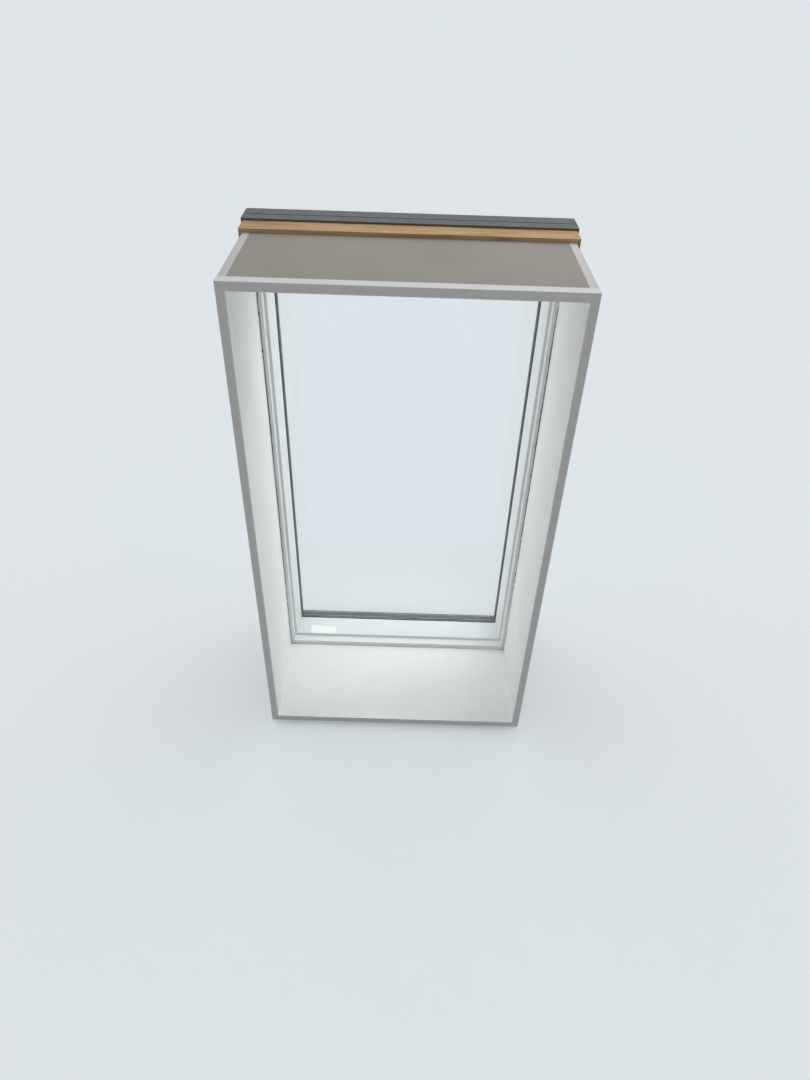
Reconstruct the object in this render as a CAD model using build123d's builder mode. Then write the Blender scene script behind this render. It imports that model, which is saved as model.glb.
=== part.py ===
from build123d import *
import os

os.makedirs("parts", exist_ok=True)

# Driving dimensions, in millimetres
# Finished opening and lining boards
opening_width = 508.0
opening_length = 937.0
lining_depth = 212.0
board_thickness = 12.7

# Trim on the room-side edge of the lining
trim_thickness = 0.7
trim_nose_reach = 0.8
trim_nose_height = 1.2
trim_nose_radius = 0.55
trim_leg = 18.0

# Caulk in the corner between the lining and the frame
caulk_size = 2.2
caulk_face_setback = 2.0

# Section of the timber frame
lip_reach = 7.4
lip_height = 20.0
bevel_width = 4.6
bevel_rise = 3.8
inner_face_height = 52.0
inner_face_splay = 5.6
seat_width = 13.6
wall_width = 23.0
groove_depth = 12.0
groove_play = 0.25
bevel_radius = 0.8
root_radius = 0.6
seat_edge_radius = 1.5

# Insulated glass unit
inner_glass = 6.4
air_gap = 12.0
outer_glass = 4.0
glass_corner_radius = 2.0
glass_arris = 0.5
spacer_width = 7.5
spacer_shoulder = 2.0
spacer_wall = 0.6
key_length = 14.0
key_radius = 5.0
key_tongue = 9.0
tongue_play = 0.1
butyl_thickness = 0.3
butyl_squeeze = 0.4
edge_seal_width = 5.0
unit_play = 2.5
unit_thickness = inner_glass + air_gap + outer_glass

# Seals and setting blocks
inner_gasket = 3.0
gasket_lip = 1.0
gasket_radius = 1.2
outer_gasket = 2.5
outer_gasket_width = 12.5
gasket_play = 0.3
block_length = 60.0
block_inset = 90.0

# Aluminium caps over the glass edge
cap_thickness = 1.0
cap_cover = 14.0
cap_leg = 32.0
cap_bend = 3.0
nose_drop = 1.5
nose_bend = 1.2

# Aluminium skirts on the frame's outer faces
skirt_thickness = 0.8
skirt_bend = 1.2
skirt_drop = 8.0
skirt_clearance = 0.5
skirt_above_bracket = 2.0
sill_skirt_foot = 10.0
nail_room = 1.5
weep_length = 24.0
weep_spacing = 170.0
weeps = 3

# Deck brackets
bracket_thickness = 2.0
bracket_length = 64.0
bracket_foot = 40.0
bracket_height = 40.0
bracket_bend = 2.0
bracket_corner = 5.0
bracket_inset = 180.0
rib_size = 12.0
rib_width = 9.0
rib_wall = 1.5
deck_hole_radius = 2.75
deck_hole_reach = 26.0
deck_hole_pitch = 40.0

# Fasteners
screw_play = 0.1
pan_head_radius = 4.0
pan_head_height = 2.4
pan_head_taper = 20.0
recess_span = 3.6
recess_width = 1.1
recess_depth = 1.5
recess_taper = 8.0
bracket_screw_radius = 2.1
bracket_screw_length = 26.0
bracket_screw_rise = 29.0
bracket_screw_pitch = 44.0
corner_screw_radius = 2.25
corner_screw_length = 70.0
corner_head_radius = 4.5
corner_head_taper = 45.0
corner_head_height = corner_head_radius - corner_screw_radius
corner_screw_rises = (23.0, 85.0)
cap_screw_radius = 2.0
cap_screw_length = 28.0
washer_radius = 5.5
washer_thickness = 1.4
cap_screw_inset = 90.0
side_cap_screws = 3
end_cap_screws = 2
nail_radius = 1.2
nail_length = 20.0
nail_head_radius = 3.5
nail_head_height = 1.1
nail_inset = 125.0
side_nails = 4
end_nails = 2

# Levels above the room-side plane, worked out from the sizes above
lip_top = lining_depth + lip_height
seat_level = lip_top + inner_face_height
inner_glass_level = seat_level + inner_gasket
gap_level = inner_glass_level + inner_glass
spacer_level = gap_level + butyl_thickness
spacer_height = air_gap - 2 * butyl_thickness
outer_glass_level = gap_level + air_gap
outer_gasket_level = outer_glass_level + outer_glass
wall_top = outer_gasket_level + outer_gasket
cap_top = wall_top + cap_thickness
groove_top = lining_depth + groove_depth
skirt_top = wall_top - skirt_drop
joggle_top = cap_top - cap_leg + skirt_clearance
side_skirt_foot = bracket_height + skirt_above_bracket

# Distances outward from the lining's inner face
inner_face = -lip_reach - bevel_width
seat_edge = inner_face - inner_face_splay
wall_face = seat_edge + seat_width
outer_face = wall_face + wall_width
wall_middle = (wall_face + outer_face) / 2
unit_edge = wall_face - unit_play
spacer_back = unit_edge - edge_seal_width
spacer_front = spacer_back - spacer_width
cap_edge = wall_face - cap_cover
cladding_face = outer_face + skirt_thickness + nail_room + cap_thickness

# Whole object, standing on its sill side with the room side to -Y
total_depth = trim_nose_height + cap_top + washer_thickness + pan_head_height
total_length = opening_length + 2 * cladding_face
room_plane = trim_nose_height - total_depth / 2
middle_height = total_length / 2
bracket_offset = opening_length / 2 - bracket_inset

# Largest miss allowed when an edge is picked by its place
pick_tolerance = 0.01

# The opening's four sides: outward direction, direction along the edge, reach from the middle, half length
SIDES = {
    "left": ((-1, 0, 0), (0, 0, -1), opening_width / 2, opening_length / 2),
    "right": ((1, 0, 0), (0, 0, 1), opening_width / 2, opening_length / 2),
    "head": ((0, 0, 1), (-1, 0, 0), opening_length / 2, opening_width / 2),
    "sill": ((0, 0, -1), (1, 0, 0), opening_length / 2, opening_width / 2),
}


def side_plane(side):
    """Section plane across the middle of one side: x outward from the lining, y towards the sky."""
    outward, along, reach, _ = SIDES[side]
    origin = Vector(0, room_plane, middle_height) + Vector(*outward) * reach
    return Plane(origin=origin, x_dir=outward, z_dir=along)


def half_length(side):
    return SIDES[side][3]


def level_plane(level):
    """Plane over the whole opening at one level above the room-side plane, facing the sky."""
    return Plane(origin=(0, room_plane + level, middle_height), x_dir=(1, 0, 0), z_dir=(0, 1, 0))


def fastener_plane(side, reach, level, along, facing):
    """Plane under a fastener's head on one side of the opening, facing the way that the head looks."""
    across = (0, 0, 1) if facing == (1, 0, 0) else (1, 0, 0)
    return Plane(side_plane(side) * Plane(origin=(reach, level, along), x_dir=across, z_dir=facing))


def spread(spacing, count):
    """Evenly spaced places along a side, centred on its middle."""
    return [spacing * (i - (count - 1) / 2) for i in range(count)]


def spread_between_corners(side, inset, side_count, end_count):
    """Evenly spaced places, the outermost at one inset from the opening's corners."""
    count = side_count if side in ("left", "right") else end_count
    return spread(2 * (half_length(side) - inset) / (count - 1), count)


def save(piece, name):
    piece.part.label = name
    export_step(piece.part, f"parts/{name}.step")


# Bars that meet at mitred corners
def mitred_bar(side, section):
    """A section carried along one side of the opening and cut at 45 degrees at both corners."""
    plane = side_plane(side)
    half = half_length(side)
    with BuildPart() as bar:
        with BuildSketch(plane):
            add(section.sketch)
        extrude(amount=half + cladding_face, both=True)
        for end in (1, -1):
            corner = Plane(plane * Plane(origin=(0, 0, end * half), z_dir=(-1, 0, end)))
            split(bisect_by=corner, keep=Keep.BOTTOM)
    return bar


# A flat ring round the opening, between two distances from the lining's inner face
def flat_ring(level, thickness, inside, outside):
    with BuildPart() as ring:
        with BuildSketch(level_plane(level)):
            Rectangle(opening_width + 2 * outside, opening_length + 2 * outside)
            Rectangle(opening_width + 2 * inside, opening_length + 2 * inside, mode=Mode.SUBTRACT)
        extrude(amount=thickness)
    return ring


# Places of the fasteners
def cap_screw_places():
    return [
        fastener_plane(side, wall_middle, cap_top, along, (0, 1, 0))
        for side in SIDES
        for along in spread_between_corners(side, cap_screw_inset, side_cap_screws, end_cap_screws)
    ]


def corner_screw_places():
    along = opening_length / 2 + wall_middle
    return [
        fastener_plane(side, outer_face, lining_depth + rise, end * along, (1, 0, 0))
        for side in ("left", "right")
        for end in (1, -1)
        for rise in corner_screw_rises
    ]


def bracket_screw_places():
    level = lining_depth + bracket_screw_rise
    return [
        fastener_plane(side, outer_face + bracket_thickness, level, middle + w, (1, 0, 0))
        for side in ("left", "right")
        for middle in (bracket_offset, -bracket_offset)
        for w in spread(bracket_screw_pitch, 2)
    ]


def nail_places():
    return [
        fastener_plane(side, outer_face + skirt_thickness, (skirt_top + joggle_top) / 2, along, (1, 0, 0))
        for side in SIDES
        for along in spread_between_corners(side, nail_inset, side_nails, end_nails)
    ]


# Cross-shaped drive recess, sunk into the flat top of each screw head and narrowing towards its bottom
def make_recesses(head_tops):
    with BuildPart() as recesses:
        with BuildSketch(*head_tops):
            Rectangle(recess_span, recess_width)
            Rectangle(recess_width, recess_span)
        extrude(amount=-recess_depth, taper=recess_taper)
    return recesses


# Timber frame
def frame_section():
    """Section of every frame member: bevelled lip, bevelled step, inner face that leans in towards the glass,
    glass seat, outer wall and lining groove."""
    corners = [
        (-lip_reach, lining_depth + bevel_rise),
        (bevel_width - lip_reach, lining_depth),
        (-groove_play, lining_depth),
        (-groove_play, groove_top),
        (board_thickness + groove_play, groove_top),
        (board_thickness + groove_play, lining_depth),
        (outer_face, lining_depth),
        (outer_face, wall_top),
        (wall_face, wall_top),
        (wall_face, seat_level),
        (seat_edge, seat_level),
        (inner_face, lip_top + bevel_rise),
        (-lip_reach, lip_top),
    ]
    planed_rounds = [
        ((-lip_reach, lining_depth + bevel_rise), bevel_radius),
        ((inner_face, lip_top + bevel_rise), bevel_radius),
        ((-lip_reach, lip_top), root_radius),
        ((seat_edge, seat_level), seat_edge_radius),
    ]
    with BuildSketch() as section:
        with BuildLine():
            Polyline(*corners, close=True)
        make_face()
        for corner, radius in planed_rounds:
            fillet(section.vertices().sort_by_distance(corner)[0], radius=radius)
    return section


def make_frame_member(side):
    with BuildPart() as member:
        add(mitred_bar(side, frame_section()).part)
        with BuildSketch(*corner_screw_places()):
            Circle(corner_screw_radius + screw_play)
        extrude(amount=-corner_screw_length, mode=Mode.SUBTRACT)
        with BuildSketch(*corner_screw_places()):
            Circle(corner_head_radius + screw_play)
        extrude(amount=-corner_head_height, taper=corner_head_taper, mode=Mode.SUBTRACT)
        with BuildSketch(*cap_screw_places()):
            Circle(cap_screw_radius + screw_play)
        extrude(amount=-cap_screw_length, mode=Mode.SUBTRACT)
        with BuildSketch(*bracket_screw_places()):
            Circle(bracket_screw_radius + screw_play)
        extrude(amount=-bracket_screw_length, mode=Mode.SUBTRACT)
        with BuildSketch(*nail_places()):
            Circle(nail_radius + screw_play)
        extrude(amount=-nail_length, mode=Mode.SUBTRACT)
    return member


def make_corner_screws():
    with BuildPart() as screws:
        with BuildSketch(*corner_screw_places()):
            Circle(corner_screw_radius)
        extrude(amount=-corner_screw_length)
        with BuildSketch(*corner_screw_places()):
            Circle(corner_head_radius)
        extrude(amount=-corner_head_height, taper=corner_head_taper)
        add(make_recesses(corner_screw_places()).part, mode=Mode.SUBTRACT)
    return screws


# Lining boards, seated in the frame's groove, with the side boards past the ends of the other two
def make_lining_board(side):
    past_corner = board_thickness if side in ("left", "right") else 0
    with BuildPart() as board:
        with BuildSketch(side_plane(side)):
            Rectangle(board_thickness, groove_top - groove_play, align=(Align.MIN, Align.MIN))
        extrude(amount=half_length(side) + past_corner, both=True)
    return board


# Trim with a round nose over the room-side edge of each board
def trim_section():
    outside = board_thickness + trim_thickness
    corners = [
        (-trim_nose_reach, -trim_nose_height),
        (outside, -trim_nose_height),
        (outside, trim_leg),
        (board_thickness, trim_leg),
        (board_thickness, 0),
        (-trim_nose_reach, 0),
    ]
    nose = [(-trim_nose_reach, -trim_nose_height), (-trim_nose_reach, 0), (outside, -trim_nose_height)]
    with BuildSketch() as section:
        with BuildLine():
            Polyline(*corners, close=True)
        make_face()
        fillet([section.vertices().sort_by_distance(corner)[0] for corner in nose], radius=trim_nose_radius)
    return section


# Caulk: a three-cornered bead between the boards and the underside of the frame's lip
def make_caulk():
    with BuildPart() as caulk:
        add(flat_ring(lining_depth - caulk_size, caulk_size, -caulk_size, 0).part)
        room_face = caulk.faces().sort_by(Axis.Y)[0]
        chamfer(room_face.inner_wires()[0].edges(), length=caulk_face_setback)
    return caulk


# Insulated glass unit
def make_pane(level, thickness):
    width = opening_width + 2 * unit_edge
    length = opening_length + 2 * unit_edge
    with BuildPart() as pane:
        with BuildSketch(level_plane(level)):
            RectangleRounded(width, length, glass_corner_radius)
        extrude(amount=thickness)
        rims = pane.faces().sort_by(Axis.Y)[0].edges() + pane.faces().sort_by(Axis.Y)[-1].edges()
        chamfer(rims, length=glass_arris)
    return pane


def make_spacer_ring(inset):
    """The outline of the whole spacer, a flat front to the air gap and two cut-back shoulders, or what lies
    an inset inside that outline."""
    level = spacer_level + inset
    height = spacer_height - 2 * inset
    shoulder = spacer_shoulder - inset * (2 - 2**0.5)
    with BuildPart() as ring:
        add(flat_ring(level, height, spacer_front + inset, spacer_back - inset).part)
        faces = ring.faces().sort_by(Axis.Y)
        chamfer(faces[0].outer_wire().edges() + faces[-1].outer_wire().edges(), length=shoulder)
    return ring


def spacer_front_size():
    """Width and length between the spacer's front faces."""
    return opening_width + 2 * spacer_front, opening_length + 2 * spacer_front


def make_spacer_sides(inset, corner_length):
    """The spacer's four sides without its corners, cut square at a length from the corners of its front."""
    width, length = spacer_front_size()
    corner_size = corner_length + spacer_width
    corner_shift = corner_size - 2 * corner_length
    with BuildPart() as sides:
        add(make_spacer_ring(inset).part)
        with BuildSketch(level_plane(spacer_level)):
            with GridLocations(width + corner_shift, length + corner_shift, 2, 2):
                Rectangle(corner_size, corner_size)
        extrude(amount=spacer_height, mode=Mode.SUBTRACT)
    return sides


def make_spacer_bars():
    """Thin tubes, open at both ends."""
    with BuildPart() as bars:
        add(make_spacer_sides(0, key_length).part)
        add(make_spacer_ring(spacer_wall).part, mode=Mode.SUBTRACT)
    return bars


def make_desiccant():
    """Drying beads that fill each tube between the keys' tongues."""
    return make_spacer_sides(spacer_wall, key_length + key_tongue)


def make_spacer_keys():
    """Moulded keys that join the spacer's bars, with a round inner corner and a tongue into each bar."""
    width, length = spacer_front_size()
    with BuildPart() as tongues:
        add(make_spacer_sides(spacer_wall + tongue_play, key_length).part)
        add(make_spacer_sides(0, key_length + key_tongue).part, mode=Mode.SUBTRACT)
    with BuildPart() as keys:
        add(make_spacer_ring(0).part)
        with BuildSketch(level_plane(spacer_level)):
            Rectangle(width - 2 * key_length, length + 4 * spacer_width)
            Rectangle(width + 4 * spacer_width, length - 2 * key_length)
        extrude(amount=spacer_height, mode=Mode.SUBTRACT)
        corner_edges = keys.edges().filter_by(Axis.Y).filter_by(is_inner_corner)
        fillet(corner_edges, radius=key_radius)
        add(tongues.part)
    return keys


def is_inner_corner(edge):
    width, length = spacer_front_size()
    across = abs(abs(edge.center().X) - width / 2)
    up = abs(abs(edge.center().Z - middle_height) - length / 2)
    return across < pick_tolerance and up < pick_tolerance


def make_butyl_seals():
    """Butyl pressed between the spacer and each pane, squeezed out a little past the spacer's front."""
    squeezed_front = spacer_front - butyl_squeeze
    back = spacer_back - spacer_shoulder
    with BuildPart() as seals:
        for level in (gap_level, spacer_level + spacer_height):
            add(flat_ring(level, butyl_thickness, squeezed_front, back).part)
    return seals


def make_edge_seal():
    """Sealant run into the channel behind the spacer, between the two panes."""
    with BuildPart() as seal:
        add(flat_ring(gap_level, air_gap, spacer_back - spacer_shoulder, unit_edge).part)
        add(make_spacer_ring(0).part, mode=Mode.SUBTRACT)
    return seal


def make_setting_blocks():
    with BuildPart() as blocks:
        for side in SIDES:
            reach = half_length(side) - block_inset
            for along in (reach, -reach):
                plane = side_plane(side)
                with BuildSketch(Plane(plane * Plane(origin=(0, 0, along)))):
                    with Locations((unit_edge, inner_glass_level)):
                        Rectangle(unit_play, unit_thickness, align=(Align.MIN, Align.MIN))
                extrude(amount=block_length / 2, both=True)
    return blocks


# Seals above and below the glass unit
def make_inner_gasket():
    with BuildPart() as gasket:
        add(flat_ring(seat_level, inner_gasket, seat_edge - gasket_lip, wall_face - gasket_play).part)
        faces = gasket.faces().sort_by(Axis.Y)
        fillet(faces[0].inner_wires()[0].edges() + faces[-1].inner_wires()[0].edges(), radius=gasket_radius)
    return gasket


def make_outer_gasket():
    outside = wall_face - gasket_play
    return flat_ring(outer_gasket_level, outer_gasket, outside - outer_gasket_width, outside)


# Aluminium caps over the glass edge
def cap_section():
    """Folded sheet: a short nose over the glass, a flat top, and a leg down the frame's outer side."""
    path = [
        (cap_edge, wall_top - nose_drop),
        (cap_edge, cap_top),
        (cladding_face, cap_top),
        (cladding_face, cap_top - cap_leg),
    ]
    with BuildSketch() as section:
        with BuildLine():
            FilletPolyline(*path, radius=(nose_bend, cap_bend))
            offset(amount=cap_thickness, side=Side.RIGHT)
        make_face()
    return section


def make_cap(side):
    with BuildPart() as cap:
        add(mitred_bar(side, cap_section()).part)
        with BuildSketch(*cap_screw_places()):
            Circle(cap_screw_radius + screw_play)
        extrude(amount=-cap_thickness, mode=Mode.SUBTRACT)
        if side == "sill":
            with BuildSketch(level_plane(wall_top - nose_drop)):
                with Locations((0, opening_length / 2 + cap_edge)):
                    with GridLocations(weep_spacing, 1, weeps, 1):
                        Rectangle(weep_length, 2 * cap_thickness)
            extrude(amount=nose_drop, mode=Mode.SUBTRACT)
    return cap


def make_cap_washers():
    with BuildPart() as washers:
        with BuildSketch(*cap_screw_places()):
            Circle(washer_radius)
            Circle(cap_screw_radius + screw_play, mode=Mode.SUBTRACT)
        extrude(amount=washer_thickness)
    return washers


def make_cap_screws():
    heads = [place.offset(washer_thickness) for place in cap_screw_places()]
    with BuildPart() as screws:
        with BuildSketch(*heads):
            Circle(pan_head_radius)
        extrude(amount=pan_head_height, taper=pan_head_taper)
        with BuildSketch(*heads):
            Circle(cap_screw_radius)
        extrude(amount=-cap_screw_length)
        add(make_recesses([head.offset(pan_head_height) for head in heads]).part, mode=Mode.SUBTRACT)
    return screws


# Aluminium skirts: tucked behind the cap's leg, joggled out flush with it, and turned in at the foot
def skirt_section(foot):
    tucked_face = outer_face + skirt_thickness
    joggle = cladding_face - tucked_face
    path = [
        (tucked_face, skirt_top),
        (tucked_face, joggle_top),
        (cladding_face, joggle_top - joggle),
        (cladding_face, lining_depth + foot),
        (outer_face, lining_depth + foot),
    ]
    with BuildSketch() as section:
        with BuildLine():
            FilletPolyline(*path, radius=skirt_bend)
            offset(amount=skirt_thickness, side=Side.RIGHT)
        make_face()
    return section


def make_skirt(side):
    foot = sill_skirt_foot if side == "sill" else side_skirt_foot
    with BuildPart() as skirt:
        add(mitred_bar(side, skirt_section(foot)).part)
        with BuildSketch(*nail_places()):
            Circle(nail_radius + screw_play)
        extrude(amount=-skirt_thickness, mode=Mode.SUBTRACT)
    return skirt


def make_skirt_nails():
    with BuildPart() as nails:
        with BuildSketch(*nail_places()):
            Circle(nail_head_radius)
        extrude(amount=nail_head_height)
        with BuildSketch(*nail_places()):
            Circle(nail_radius)
        extrude(amount=-nail_length)
    return nails


# Deck brackets: bent steel with a pressed rib across the bend
def make_bracket(side, along):
    section = Plane(side_plane(side) * Plane(origin=(0, 0, along)))
    heel = (outer_face, lining_depth)
    leg_inside = outer_face + bracket_thickness
    foot_inside = lining_depth + bracket_thickness
    rib_slope_set_back = bracket_thickness * 2**0.5
    hollow_size = rib_size + 2 * bracket_thickness - rib_slope_set_back
    with BuildPart() as bracket:
        with BuildSketch(section) as outline:
            with BuildLine():
                Polyline(
                    heel,
                    (outer_face + bracket_foot, lining_depth),
                    (outer_face + bracket_foot, foot_inside),
                    (leg_inside, foot_inside),
                    (leg_inside, lining_depth + bracket_height),
                    (outer_face, lining_depth + bracket_height),
                    close=True,
                )
            make_face()
            inner_corner = outline.vertices().sort_by_distance((leg_inside, foot_inside))[0]
            fillet(inner_corner, radius=bracket_bend)
            outer_corner = outline.vertices().sort_by_distance(heel)[0]
            fillet(outer_corner, radius=bracket_bend + bracket_thickness)
        extrude(amount=bracket_length / 2, both=True)
        with BuildSketch(section):
            with BuildLine():
                Polyline(
                    (leg_inside, foot_inside),
                    (leg_inside + rib_size, foot_inside),
                    (leg_inside, foot_inside + rib_size),
                    close=True,
                )
            make_face()
        extrude(amount=rib_width / 2, both=True)
        with BuildSketch(section):
            with BuildLine():
                Polyline(
                    heel,
                    (outer_face + hollow_size, lining_depth),
                    (outer_face, lining_depth + hollow_size),
                    close=True,
                )
            make_face()
        extrude(amount=rib_width / 2 - rib_wall, both=True, mode=Mode.SUBTRACT)
        thin_edges = bracket.edges().filter_by(is_plate_corner)
        fillet(thin_edges, radius=bracket_corner)
        foot_holes = [
            fastener_plane(side, outer_face + deck_hole_reach, foot_inside, along + w, (0, 1, 0))
            for w in spread(deck_hole_pitch, 2)
        ]
        with BuildSketch(*foot_holes):
            Circle(deck_hole_radius)
        extrude(amount=-bracket_thickness, mode=Mode.SUBTRACT)
        with BuildSketch(*bracket_screw_places()):
            Circle(bracket_screw_radius + screw_play)
        extrude(amount=-bracket_thickness, mode=Mode.SUBTRACT)
    return bracket


def is_plate_corner(edge):
    """A short edge through the plate's thickness, at a free corner of the bracket's leg or foot."""
    if abs(edge.length - bracket_thickness) > pick_tolerance:
        return False
    at_leg_end = abs(edge.center().Y - room_plane - lining_depth - bracket_height) < pick_tolerance
    foot_end = opening_width / 2 + outer_face + bracket_foot
    at_foot_end = abs(abs(edge.center().X) - foot_end) < pick_tolerance
    return at_leg_end or at_foot_end


def make_bracket_screws():
    with BuildPart() as screws:
        with BuildSketch(*bracket_screw_places()):
            Circle(pan_head_radius)
        extrude(amount=pan_head_height, taper=pan_head_taper)
        with BuildSketch(*bracket_screw_places()):
            Circle(bracket_screw_radius)
        extrude(amount=-bracket_screw_length)
        head_tops = [place.offset(pan_head_height) for place in bracket_screw_places()]
        add(make_recesses(head_tops).part, mode=Mode.SUBTRACT)
    return screws


# Every piece, made and written
for side in SIDES:
    save(make_frame_member(side), f"frame_{side}")
    save(make_lining_board(side), f"lining_{side}")
    save(mitred_bar(side, trim_section()), f"edge_trim_{side}")
    save(make_cap(side), f"cap_{side}")
    save(make_skirt(side), f"skirt_{side}")

for side in ("left", "right"):
    save(make_bracket(side, SIDES[side][1][2] * bracket_offset), f"bracket_{side}_upper")
    save(make_bracket(side, -SIDES[side][1][2] * bracket_offset), f"bracket_{side}_lower")

save(make_pane(inner_glass_level, inner_glass), "inner_pane")
save(make_pane(outer_glass_level, outer_glass), "outer_pane")
save(make_spacer_bars(), "spacer_bars")
save(make_spacer_keys(), "spacer_keys")
save(make_desiccant(), "desiccant")
save(make_butyl_seals(), "butyl_seals")
save(make_edge_seal(), "edge_seal")
save(make_setting_blocks(), "setting_blocks")
save(make_inner_gasket(), "inner_gasket")
save(make_outer_gasket(), "outer_gasket")
save(make_caulk(), "caulk_bead")
save(make_corner_screws(), "corner_screws")
save(make_bracket_screws(), "bracket_screws")
save(make_cap_screws(), "cap_screws")
save(make_cap_washers(), "cap_washers")
save(make_skirt_nails(), "skirt_nails")
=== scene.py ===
import math

import bpy
import numpy as np
from mathutils import Matrix, Vector


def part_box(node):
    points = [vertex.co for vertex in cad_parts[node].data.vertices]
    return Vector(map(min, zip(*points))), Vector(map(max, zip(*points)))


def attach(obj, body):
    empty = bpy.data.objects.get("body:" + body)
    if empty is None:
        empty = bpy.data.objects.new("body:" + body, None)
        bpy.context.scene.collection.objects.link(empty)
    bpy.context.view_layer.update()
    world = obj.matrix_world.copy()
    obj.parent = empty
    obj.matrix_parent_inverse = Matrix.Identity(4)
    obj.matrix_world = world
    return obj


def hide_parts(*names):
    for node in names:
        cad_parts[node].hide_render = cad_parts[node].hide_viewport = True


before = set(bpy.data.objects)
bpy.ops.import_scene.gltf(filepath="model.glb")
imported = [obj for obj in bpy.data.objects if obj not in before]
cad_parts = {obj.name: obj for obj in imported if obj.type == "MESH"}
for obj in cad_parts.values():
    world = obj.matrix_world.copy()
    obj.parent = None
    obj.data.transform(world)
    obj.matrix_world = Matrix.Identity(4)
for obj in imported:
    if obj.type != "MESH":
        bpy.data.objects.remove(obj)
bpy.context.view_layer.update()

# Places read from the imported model, in metres
board_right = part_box("lining_right")
board_sill, board_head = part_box("lining_sill"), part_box("lining_head")
half_width = board_right[0].x
half_length = (board_head[0].z - board_sill[1].z) / 2
middle_height = (board_head[0].z + board_sill[1].z) / 2
room_plane = board_sill[0].y
board_thickness = board_right[1].x - board_right[0].x
deck_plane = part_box("frame_left")[0].y
cladding_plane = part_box("cap_right")[1].y
spacer_middle = (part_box("spacer_bars")[0].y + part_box("spacer_bars")[1].y) / 2

# The opening's corners, as signs of x and z, from the lower left one along the sill
corner_signs = np.array([[-1, -1], [1, -1], [1, 1], [-1, 1]])

# The frame's inner face, which leans in towards the glass above a rounded edge: distance inwards from the
# boards and height above the deck, at the face's foot before it is rounded and at the glass seat
face_foot = (0.0120, 0.0238)
face_top = (0.0176, 0.0720)
face_edge_radius = 0.0008

# How far the sill's butyl shows inwards of the glass seat's edge, at most
butyl_shows = 0.004

# The label's size, the place of its middle and how much of it is bent over the face's rounded edge
label_length, label_width = 0.0600, 0.0226
label_corner_radius = 0.0016
label_thickness = 0.00012
label_middle_x = -0.1800
label_foot_bend = 0.0006

# Camera at the photograph's viewing angle
camera_place = (0.0025, -1.18185, 1.3592)
camera_down_deg = 39.211
camera_right_deg = 0.2995
camera_roll_deg = 1.9535
camera_lens_mm = 25.164
camera_sensor_mm = 36.0


def make_camera():
    """Camera turned to the right, tilted down and rolled about its own axis, in that order."""
    data = bpy.data.cameras.new("camera")
    data.sensor_width = camera_sensor_mm
    data.lens = camera_lens_mm
    camera = bpy.data.objects.new("camera", data)
    turn = Matrix.Rotation(-math.radians(camera_right_deg), 4, "Z")
    tilt = Matrix.Rotation(math.radians(90 - camera_down_deg), 4, "X")
    roll = Matrix.Rotation(math.radians(camera_roll_deg), 4, "Z")
    camera.matrix_world = Matrix.Translation(camera_place) @ turn @ tilt @ roll
    bpy.context.scene.collection.objects.link(camera)
    bpy.context.scene.camera = camera


make_camera()


# Node trees
def add(tree, kind, inputs=None, **settings):
    """One node; each input is a value or another node's output socket."""
    node = tree.nodes.new(kind)
    for name, value in settings.items():
        setattr(node, name, value)
    for name, value in (inputs or {}).items():
        if isinstance(value, bpy.types.NodeSocket):
            tree.links.new(value, node.inputs[name])
        else:
            node.inputs[name].default_value = value
    return node


def use(tree, group, inputs=None):
    """Places a node group in a tree and returns its outputs."""
    return add(tree, "ShaderNodeGroup", inputs, node_tree=group).outputs


def connect(tree, inputs, sockets):
    """Links output sockets to the inputs of the same names."""
    for name, socket in sockets.items():
        tree.links.new(socket, inputs[name])


def calc(tree, operation, a, b=0.0):
    """Result of one step of arithmetic."""
    return add(tree, "ShaderNodeMath", {0: a, 1: b}, operation=operation).outputs[0]


def span(tree, value, low, high, to_low=0.0, to_high=1.0):
    """Value taken from the range low to high onto another range, and held at its ends."""
    inputs = {"Value": value, "From Min": low, "From Max": high, "To Min": to_low, "To Max": to_high}
    return add(tree, "ShaderNodeMapRange", inputs).outputs["Result"]


def noise(tree, vector, scale, detail=2.0, roughness=0.5):
    """Noise between 0 and 1."""
    inputs = {"Vector": vector, "Scale": scale, "Detail": detail, "Roughness": roughness}
    return add(tree, "ShaderNodeTexNoise", inputs).outputs["Fac"]


def blend_colour(tree, mask, first, second):
    """From the first colour to the second; the Mix node's colours are inputs 6 and 7 and output 2."""
    return add(tree, "ShaderNodeMix", {0: mask, 6: first, 7: second}, data_type="RGBA").outputs[2]


def blend_vector(tree, mask, first, second):
    """From the first vector to the second; the Mix node's vectors are inputs 4 and 5 and output 1."""
    return add(tree, "ShaderNodeMix", {0: mask, 4: first, 5: second}, data_type="VECTOR").outputs[1]


def stretch(tree, vector, scales):
    """A vector with each coordinate multiplied by its own scale."""
    return add(tree, "ShaderNodeVectorMath", {0: vector, 1: scales}, operation="MULTIPLY").outputs[0]


def split(tree, vector):
    """X, Y and Z of a vector."""
    return add(tree, "ShaderNodeSeparateXYZ", {0: vector}).outputs


def facing(tree):
    """X, Y and Z of the way the surface faces."""
    return split(tree, add(tree, "ShaderNodeNewGeometry").outputs["Normal"])


def colour(red, green, blue):
    """A linear colour that hides what is behind it."""
    return (red, green, blue, 1.0)


def new_group(name, inputs, outputs):
    """Node group with named sockets: inputs as (name, kind, value) and outputs as (name, kind).
    Returns its tree, its inputs and its output node's sockets."""
    tree = bpy.data.node_groups.new(name, "ShaderNodeTree")
    for socket_name, kind, value in inputs:
        socket = tree.interface.new_socket(socket_name, in_out="INPUT", socket_type="NodeSocket" + kind)
        socket.default_value = value
    for socket_name, kind in outputs:
        tree.interface.new_socket(socket_name, in_out="OUTPUT", socket_type="NodeSocket" + kind)
    return tree, tree.nodes.new("NodeGroupInput").outputs, tree.nodes.new("NodeGroupOutput").inputs


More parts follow.
